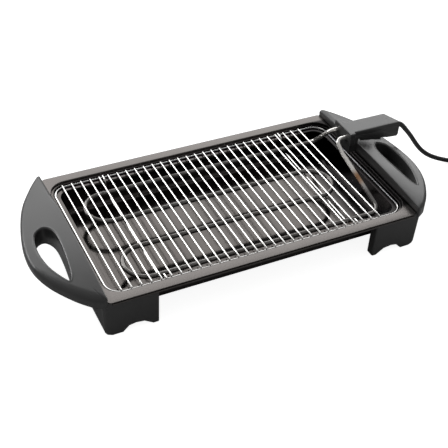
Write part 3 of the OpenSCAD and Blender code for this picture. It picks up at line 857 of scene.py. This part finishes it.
def makeBosses(side):
    # tubes under the plate that take the screws
    pieces = []
    bossX, bossY = handleShape["bossAt"]
    low, high = handleShape["rimTop"], handleTop(bossX, bossY) - 2
    a = np.linspace(0, 2 * math.pi, 32, endpoint=False)
    for y in (-bossY, bossY):
        loops = []
        for r, z in ((4.5, low), (4.5, high), (1.55, high), (1.55, low)):
            loops.append(np.column_stack([bossX * side + r * np.cos(a), y + r * np.sin(a), np.full(32, z)]))
        pieces.append(loftPiece("boss", loops, handlePlastic))
    return pieces


def makeRecessFloor():
    # plate that closes the right handle's hand hole from below
    centre = np.array(handleShape["centre"], float)
    hole = insetLoop(handleHole(), -1)
    parts = (0.03, 0.3, 0.6, 0.9, 1)
    loops = []
    for z, rings in zip(handleShape["recessZ"], (parts, parts[::-1])):
        for part in rings:
            flat = centre + (hole - centre) * part
            loops.append(np.column_stack([flat, np.full(len(flat), z)]))
    return loftPiece("recessFloor", loops, handlePlastic)


def makeRibs(side):
    # stiffening ribs under the plate, between its inner wall, the collar and the skirt
    pieces = []
    for y, endX in handleShape["ribEnds"]:
        zs = (53.1, handleTop(endX, y) - 1.6)
        pieces.append(blockPiece("rib", (side * 220, side * endX), (y - 1, y + 1), zs, handlePlastic))
    return pieces


def cutSlot(piece):
    # slot through the right handle for the control box's tongue
    cutter = blockPiece("cutter", *zip(*handleShape["slot"]), handlePlastic)
    cut = piece.modifiers.new("slot", "BOOLEAN")
    cut.operation = "DIFFERENCE"
    cut.solver = "EXACT"
    cut.object = cutter
    bakeModifiers(piece)
    bpy.data.objects.remove(cutter)


for side, name in ((-1, "left"), (1, "right")):
    handle = makeHandle(name + "Handle", side)
    extras = makeBosses(side) + makeRibs(side)
    if side == 1:
        cutSlot(handle)
        extras.append(makeRecessFloor())
    handle = joinPieces(name + "Handle", [handle] + extras)
    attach(handle, "base")
    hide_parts(name + "_handle")
print("handles made")


# Feet: an L-shaped wall with an arch in its front, under each end of the rim

footShape = {"innerX": 154.5, "outerX": 221.5, "lean": 2.0, "frontY": 129.5, "sideBack": 70,
             "innerBack": 117.8, "corner": 4, "bottomRound": 6, "topZ": 46.5, "rimZ": 52, "wall": 3,
             "underRimX": 217, "flangeBack": 118.2, "flangeZ": (49, 51.9),
             "arch": [(150, 0), (160.4, 0), (160.6, 0.2), (172, 8), (183, 9.5), (191.6, 8), (199.4, 0.2),
                      (199.6, 0), (230, 0)]}


def makeFoot(name, sideX, sideY):
    s = footShape
    innerX = s["innerX"] if sideX > 0 else s["innerX"] - 2
    corners = [(innerX, -s["innerBack"], 0), (innerX, -s["frontY"], 0), (s["outerX"], -s["frontY"], 0),
               (s["outerX"], -s["sideBack"], 0)]
    plan = bentPath(corners, [2, s["corner"]], 8)[:, :2]
    plan = evenPoints(plan, 260)
    arch = np.array(s["arch"], float)
    front = plan[:, 1] < -s["frontY"] + 2.5
    bottom = np.where(front, np.interp(plan[:, 0], arch[:, 0], arch[:, 1]), 0)
    top = np.where(plan[:, 0] > s["underRimX"], s["topZ"], s["rimZ"])
    t = np.linspace(0, 1, 25)
    z = bottom[:, None] + (top - bottom)[:, None] * t
    r = s["bottomRound"]
    tuck = r - np.sqrt(np.clip(r ** 2 - np.clip(r - z, 0, r) ** 2, 0, None))
    outward = np.clip((plan[:, 0] - 200) / (s["outerX"] - 200), 0, 1)[:, None]
    x = plan[:, :1] + outward * (s["lean"] * z / s["topZ"] - tuck)
    points = np.stack([x, np.broadcast_to(plan[:, 1:], z.shape), z], -1)
    points[..., 0] *= sideX
    points[..., 1] *= -sideY
    piece = makePiece(name, points, gridFaces(len(plan), 25), footPlastic, False, 30)
    if piece.data.polygons[24 * 60 + 12].normal.y * sideY < 0:
        piece.data.flip_normals()
    thickenPiece(piece, s["wall"], True)
    xs, ys = (sideX * innerX, sideX * s["underRimX"]), (sideY * (s["frontY"] - 1), sideY * s["flangeBack"])
    return joinPieces(name, [piece, blockPiece("flange", xs, ys, s["flangeZ"], footPlastic)])


for nameY, sideY in (("front", -1), ("back", 1)):
    for nameX, sideX in (("left", -1), ("right", 1)):
        foot = makeFoot(nameY + nameX.capitalize() + "Foot", sideX, sideY)
        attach(foot, "base")
        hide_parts(nameY + "_" + nameX + "_foot")
print("feet made")


# Control box: a nose over the rim, a long flat body over the handle, a post and a tongue

boxShape = {"x": (201, 287.5), "y": (23, 51.5), "noseX": 209, "noseY": (19, 63), "slant": 11.5, "split": 81,
            "middleY": 38.5, "fixedX": 265, "pinch": 0.08, "topZ": (89, 88),
            "post": ((203.5, 23, 55.5), (216.8, 60, 71)), "tongue": ((226, 30, 53.5), (262, 46, 77)),
            "underside": [(201, 70), (216.8, 70), (217, 76), (238, 72.5), (268, 65.5), (284, 64),
                          (288, 68.5)]}


def boxTop(x):
    s = boxShape
    return s["topZ"][0] + (s["topZ"][1] - s["topZ"][0]) * (x - 201) / 87


def boxBottom(x):
    under = np.array(boxShape["underside"], float)
    return np.interp(x, under[:, 0], under[:, 1])


def shrinkFlat(loop, part):
    # a loop drawn in towards the box's middle line and kept inside its slanted end
    s = boxShape
    (y0, y1), middleY, fixedX = s["y"], s["middleY"], s["fixedX"]
    x, oldY, z = loop.T
    y = middleY + (oldY - middleY) * part
    reach = s["x"][1] - s["slant"] * (y - y0) / (y1 - y0) - fixedX
    oldReach = s["x"][1] - s["slant"] * (oldY - y0) / (y1 - y0) - fixedX
    near = np.clip((x - fixedX) / 15, 0, 1)
    moved = fixedX + (x - fixedX) * reach / oldReach
    moved = moved - (1 - part) * s["pinch"] * np.abs(oldY - middleY) * near
    return np.column_stack([np.where(x > fixedX, moved, x), y, z])


def makeShellPart(name, plan, low, high, lowRound, highRound):
    # walls between two heights given along X, closed above and below, with rolled edges
    quarter = quarterTurn(5)
    loops = []
    for a in quarter:
        ring = insetLoop(plan, lowRound * (1 - math.sin(a)))
        loops.append(np.column_stack([ring, low(ring[:, 0]) + lowRound * (1 - math.cos(a))]))
    for a in quarter[::-1]:
        ring = insetLoop(plan, highRound * (1 - math.sin(a)))
        loops.append(np.column_stack([ring, high(ring[:, 0]) - highRound * (1 - math.cos(a))]))
    under = [shrinkFlat(loops[0], part) for part in (0, 0.4, 0.8)]
    over = [shrinkFlat(loops[-1], part) for part in (0.8, 0.4, 0)]
    return loftPiece(name, under + loops + over, boxPlastic, False, 35)


def makeBox():
    s = boxShape
    (x0, x1), (y0, y1) = s["x"], s["y"]
    n0, n1 = s["noseY"]
    nx = s["noseX"]
    corners = [(x0, n0), (nx, n0), (nx, y0), (x1, y0), (x1 - s["slant"], y1), (nx, y1), (nx, n1), (x0, n1)]
    plan = evenPoints(roundedCorners(corners, [1.2, 1.2, 1, 1.6, 1.6, 1, 1.2, 1.2]), 520, True)
    split = lambda x: np.full_like(x, float(s["split"]))
    cover = makeShellPart("boxCover", plan, lambda x: split(x) + 0.03, boxTop, 0.02, 1.2)
    parts = [makeShellPart("boxBase", plan, boxBottom, lambda x: split(x) - 0.03, 1.2, 0.02)]
    for key, bevel in (("post", 1.0), ("tongue", 0.8)):
        block = blockPiece(key, *zip(*s[key]), boxPlastic)
        bevelPiece(block, bevel, 4)
        parts.append(block)
    return cover, joinPieces("boxBase", parts)


boxCover, boxBase = makeBox()
for piece, node in ((boxCover, "control_box_cover"), (boxBase, "control_box_base")):
    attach(piece, "cooking_unit")
    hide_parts(node)
print("control box made")


# Bend sleeve where the cord leaves the box

sleeveShape = {"path": [(279, 31, 79.4), (285, 31, 79.4), (290.2, 31, 78.9), (294.6, 31, 76.7),
                        (299.6, 31, 72), (306, 31, 64.7)], "radii": (3.8, 3.5), "grooves": 6}


def makeSleeve():
    # a tapered sleeve with short grooves half way round, on its upper and lower sides in turn
    s = sleeveShape
    path = evenPoints(smoothCurve(s["path"], 12), 120)
    t = np.linspace(0, 1, len(path))
    radius = s["radii"][0] + (s["radii"][1] - s["radii"][0]) * t
    points = tubePoints(path, radius, 48, up=(0, 1, 0))
    a = np.linspace(0, 2 * math.pi, 48, endpoint=False)
    turn = 2 * math.pi * s["grooves"] * np.clip((t - 0.3) / 0.65, 0, 1)
    ring, side = np.cos(turn * 2), np.sign(np.sin(turn + 0.01))
    cut = np.clip(-ring * 3 - 1.6, 0, 1)[:, None] * np.clip(side[:, None] * np.cos(a)[None] * 3, 0, 1)
    inward = unit(path[:, None] - points)
    points = points + inward * (0.5 * cut * ((t > 0.3) & (t < 0.95))[:, None])[..., None]
    return makePiece("bendSleeve", points, cappedFaces(len(path), 48), cordJacket, True, 35)


bendSleeve = makeSleeve()
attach(bendSleeve, "cooking_unit")
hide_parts("bend_sleeve")

# CAD pieces that stay get their finish
nodeFinish = {"left_end_beam": footPlastic, "right_end_beam": footPlastic, "element_flange": screwSteel,
              "terminal_block": ceramic, "thermal_cutout": screwSteel}
for corner in ("front_left", "front_right", "back_left", "back_right"):
    nodeFinish[corner + "_screw"] = screwSteel
for node, material in nodeFinish.items():
    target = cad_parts[node]
    if target.material_slots:
        for slot in target.material_slots:
            slot.material = material
    else:
        target.data.materials.append(material)
print("small parts finished")


# Studio: pale floor, a wide lit backdrop behind the grill, dim light all round, white to the camera

studio = {"floorSize": 12, "floorTone": 0.55, "floorGlow": 0.9, "worldTone": 0.2, "topTone": 0.5,
          "cameraWhite": 1.0}


def makeFloor():
    half = studio["floorSize"] / 2
    mesh = bpy.data.meshes.new("floor")
    corners = [(-half, -half, 0), (half, -half, 0), (half, half, 0), (-half, half, 0)]
    mesh.from_pydata(corners, [], [(0, 1, 2, 3)])
    floor = bpy.data.objects.new("floor", mesh)
    bpy.context.collection.objects.link(floor)
    material, nodes, links, surface = newMaterial("floorPaper")
    surface.inputs["Base Color"].default_value = gray(studio["floorTone"])
    surface.inputs["Roughness"].default_value = 0.9
    surface.inputs["Specular IOR Level"].default_value = 0.1
    rays = nodes.new("ShaderNodeLightPath")
    glow = nodes.new("ShaderNodeEmission")
    glow.inputs["Color"].default_value = gray(1.0)
    add = nodes.new("ShaderNodeAddShader")
    level = nodes.new("ShaderNodeMath")
    level.operation = "MULTIPLY"
    level.inputs[1].default_value = studio["floorGlow"]
    links.new(rays.outputs["Is Camera Ray"], level.inputs[0])
    links.new(level.outputs[0], glow.inputs["Strength"])
    links.new(surface.outputs["BSDF"], add.inputs[0])
    links.new(glow.outputs["Emission"], add.inputs[1])
    links.new(add.outputs["Shader"], nodes["Material Output"].inputs["Surface"])
    mesh.materials.append(material)


def makeWorld():
    # dim at the horizon and brighter overhead, plain white where the camera sees it
    world = bpy.data.worlds.new("studioWorld")
    bpy.context.scene.world = world
    world.use_nodes = True
    nodes, links = world.node_tree.nodes, world.node_tree.links
    plain = nodes["Background"]
    plain.inputs["Color"].default_value = gray(1.0)
    place = nodes.new("ShaderNodeTexCoord")
    split = nodes.new("ShaderNodeSeparateXYZ")
    links.new(place.outputs["Generated"], split.inputs["Vector"])
    rise = nodes.new("ShaderNodeMapRange")
    rise.inputs["From Min"].default_value = 0.0
    rise.inputs["From Max"].default_value = 1.0
    rise.inputs["To Min"].default_value = studio["worldTone"]
    rise.inputs["To Max"].default_value = studio["topTone"]
    links.new(split.outputs["Z"], rise.inputs["Value"])
    rays = nodes.new("ShaderNodeLightPath")
    choose = nodes.new("ShaderNodeMix")
    choose.inputs["B"].default_value = studio["cameraWhite"]
    links.new(rays.outputs["Is Camera Ray"], choose.inputs["Factor"])
    links.new(rise.outputs["Result"], choose.inputs["A"])
    links.new(choose.outputs["Result"], plain.inputs["Strength"])


def makeLight(name, place, target, size, tone):
    # a rectangular light of an even brightness
    data = bpy.data.lights.new(name, "AREA")
    data.shape = "RECTANGLE"
    data.size, data.size_y = size
    data.energy = tone * math.pi * size[0] * size[1]
    light = bpy.data.objects.new(name, data)
    light.location = place
    light.rotation_euler = (Vector(target) - Vector(place)).to_track_quat("-Z", "Y").to_euler()
    light.light_linking.blocker_collection = unblocked
    bpy.context.collection.objects.link(light)


makeFloor()
makeWorld()
# the control box casts no shade on the handle in front of it
unblocked = bpy.data.collections.new("unblocked")
unblocked.objects.link(boxCover)
unblocked.objects.link(boxBase)
for member in unblocked.collection_objects:
    member.light_linking.link_state = "EXCLUDE"
makeLight("backdropLight", (0.05, 2.0, 1.55), (0.05, 0, 1.55), (3.7, 1.9), 2.6)
makeLight("edgeLight", (-1.8, 1.9, 1.1), (0, 0, 0.05), (0.5, 1.0), 8)
makeLight("lowSideLight", (2.85, 2.0, 1.32), (2.85, 0, 1.32), (1.9, 1.6), 3.2)
print("studio made")

bpy.context.scene.view_settings.view_transform = "Standard"
